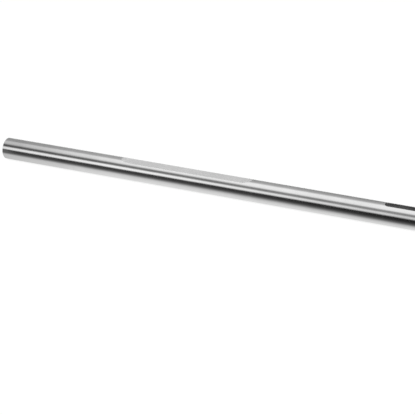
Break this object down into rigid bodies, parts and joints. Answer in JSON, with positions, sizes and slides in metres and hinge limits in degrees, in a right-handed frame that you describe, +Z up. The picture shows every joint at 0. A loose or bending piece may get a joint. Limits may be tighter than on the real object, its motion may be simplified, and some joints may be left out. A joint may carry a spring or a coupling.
{
  "type": "fan shaft",
  "caption": "Plain round steel fan shaft lying on its side, with a milled set-screw flat at mid-length and a round-ended keyway open at one end.",
  "frame": {"origin": "on the shaft's axis, halfway along its length", "axes": "+X along the shaft toward the keyed end, +Z up out of the flat and the keyway, so the shaft rests on its round underside at z = -12.5 mm"},
  "size_m": [0.6, 0.025, 0.025],
  "materials": {
    "steel": "ground and polished round bar, with a lighter, matt milled flat, a dull dark keyway and turned end faces"
  },
  "bodies": {
    "root": {"shaft": "steel"}
  },
  "joints": []
}
